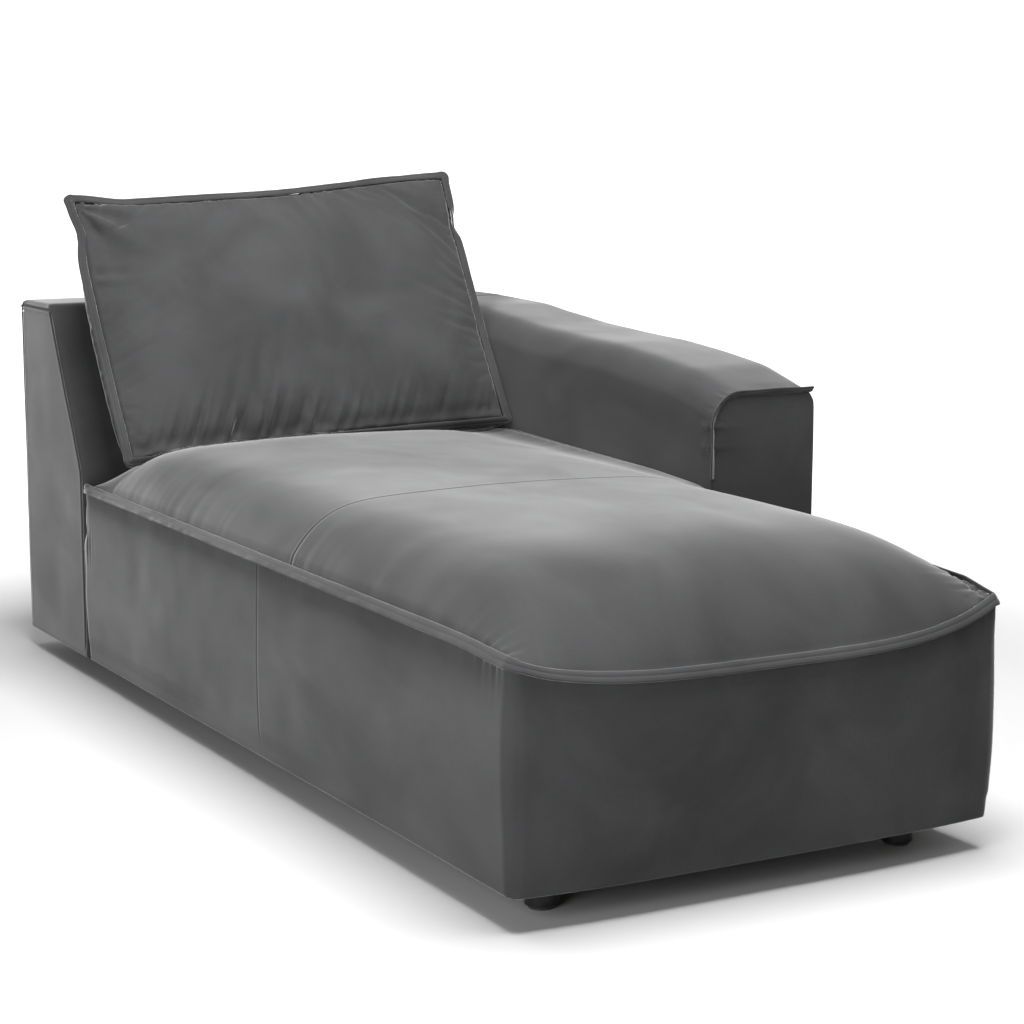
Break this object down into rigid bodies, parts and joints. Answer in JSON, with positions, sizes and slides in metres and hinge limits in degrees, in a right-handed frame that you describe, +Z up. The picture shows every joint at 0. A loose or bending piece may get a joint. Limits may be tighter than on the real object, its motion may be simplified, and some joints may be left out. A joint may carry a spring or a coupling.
{
  "type": "daybed",
  "caption": "One-armed upholstered daybed with a long crowned seat, low wedge back, side arm, short round legs and a loose back cushion.",
  "frame": {"origin": "on the floor, under the centre of the daybed's overall box", "axes": "+X towards the arm, +Y towards the back rest, +Z up; the foot end is at -Y"},
  "size_m": [1, 2.03, 0.9439],
  "materials": {
    "velvet": "matte",
    "foam": "matte",
    "filling": "matte",
    "felt": "matte",
    "dust_cloth": "matte",
    "spring_steel": "satin",
    "zinc_steel": "satin",
    "leg_lacquer": "satin",
    "glide_felt": "matte",
    "zip_tape": "matte",
    "zip_metal": "satin",
    "hardboard": "matte",
    "timber": "matte"
  },
  "bodies": {
    "daybed": {"arm_cover": "velvet", "arm_dust_cover": "dust_cloth", "arm_flange": "velvet", "arm_foam": "foam", "arm_front_board": "timber", "arm_inner_panel": "hardboard", "arm_leg_block": "timber", "arm_outer_panel": "hardboard", "arm_rail_inner": "timber", "arm_rail_outer": "timber", "arm_rear_board": "timber", "arm_top_board": "timber", "back_cover": "velvet", "back_dust_cover": "dust_cloth", "back_end_left": "timber", "back_end_right": "timber", "back_foam": "foam", "back_front_panel": "hardboard", "back_leg_boards": "timber", "back_posts": "timber", "back_rail_front": "timber", "back_rail_rear": "timber", "back_rear_panel": "hardboard", "back_top_board": "timber", "border_padding_front": "foam", "border_padding_left": "foam", "border_padding_right": "foam", "connector_bolts": "zinc_steel", "connector_tee_nuts": "zinc_steel", "connector_washers": "zinc_steel", "leg_arm_front": "leg_lacquer", "leg_centre": "leg_lacquer", "leg_front_left": "leg_lacquer", "leg_front_right": "leg_lacquer", "leg_glides": "glide_felt", "leg_rear_left": "leg_lacquer", "leg_rear_right": "leg_lacquer", "leg_studs": "zinc_steel", "leg_tee_nuts": "zinc_steel", "seat_corner_blocks": "timber", "seat_cover": "velvet", "seat_cross_rails": "timber", "seat_dust_cover": "dust_cloth", "seat_flange": "velvet", "seat_foam": "foam", "seat_rail_front": "timber", "seat_rail_left": "timber", "seat_rail_rear": "timber", "seat_rail_right": "timber", "seat_springs": "spring_steel", "spring_clips": "spring_steel", "spring_pad": "felt"},
    "back_cushion": {"cushion_cover": "velvet", "cushion_filling": "filling", "cushion_flange": "velvet", "zip_chain": "zip_tape"},
    "zip_slider": {"zip_slider": "zip_metal"},
    "zip_pull": {"zip_pull": "zip_metal"}
  },
  "joints": [
    {"name": "cushion_lift", "type": "slide", "parent": "daybed", "child": "back_cushion", "axis": [0, 0.4622, 0.8868], "range_m": [0, 0.5]},
    {"name": "zip_slide", "type": "slide", "parent": "back_cushion", "child": "zip_slider", "axis": [1, 0, 0], "range_m": [0, 0.48]},
    {"name": "zip_pull_hinge", "type": "hinge", "parent": "zip_slider", "child": "zip_pull", "pos_m": [-0.339, 0.63145, 0.4644], "axis": [0, 1, 0], "range_deg": [-85, 85]}
  ]
}
